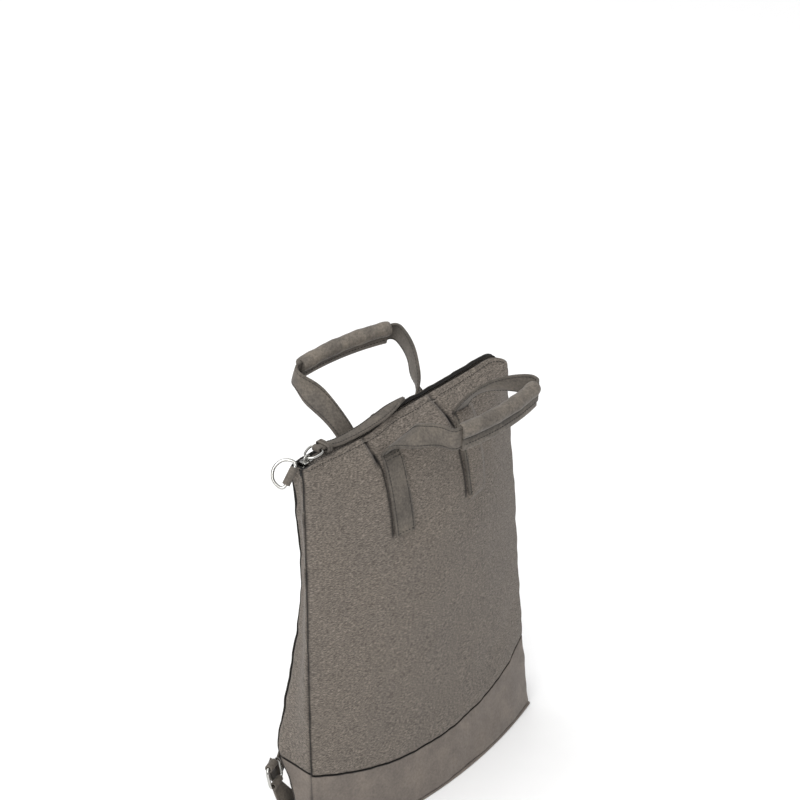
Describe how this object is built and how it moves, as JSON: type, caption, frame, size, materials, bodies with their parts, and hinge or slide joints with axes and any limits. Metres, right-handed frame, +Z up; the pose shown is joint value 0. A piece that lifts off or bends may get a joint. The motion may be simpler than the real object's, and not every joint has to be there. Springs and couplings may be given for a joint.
{
  "type": "convertible backpack",
  "caption": "Tall soft tote and backpack with a zipped top, two carrying handles, a ring at the top corner and shoulder straps behind.",
  "frame": {"origin": "middle of the base, on the floor plane", "axes": "+Z up, front of the bag towards -Y, +X to the bag's right as seen from the front"},
  "size_m": [0.3474, 0.206, 0.4451],
  "materials": {
    "panel_fabric": "matte woven taupe",
    "strap_leather": "matte fine grain",
    "zip_tape_fabric": "matte knitted tape",
    "zip_coil_plastic": "satin nylon",
    "polished_metal": "polished silver"
  },
  "bodies": {
    "bag": {"front_panel": "panel_fabric", "front_base_panel": "panel_fabric", "back_panel": "panel_fabric", "back_base_panel": "panel_fabric", "left_gusset": "panel_fabric", "left_base_gusset": "panel_fabric", "right_gusset": "panel_fabric", "right_base_gusset": "panel_fabric", "bottom_panel": "panel_fabric", "zip_tape_front": "zip_tape_fabric", "zip_tape_back": "zip_tape_fabric", "zip_coil": "zip_coil_plastic", "zip_slider": "polished_metal", "zip_pull_ring": "polished_metal", "back_ring": "polished_metal", "left_lower_ring": "polished_metal", "right_lower_ring": "polished_metal", "zip_pull": "strap_leather", "zip_pull_keeper": "strap_leather", "front_handle_strap": "strap_leather", "front_handle_grip": "strap_leather", "back_handle_strap": "strap_leather", "back_handle_grip": "strap_leather", "left_d_ring_tab": "strap_leather", "back_ring_tab": "strap_leather", "left_wing": "strap_leather", "right_wing": "strap_leather", "left_shoulder_strap": "strap_leather", "right_shoulder_strap": "strap_leather"},
    "left_ring": {"left_d_ring": "polished_metal"}
  },
  "joints": [
    {"name": "left_ring_swing", "type": "hinge", "parent": "bag", "child": "left_ring", "pos_m": [-0.14742, 0.012, 0.39342], "axis": [-0.6281, 0.0299, -0.7776], "range_deg": [-160, 40]}
  ]
}
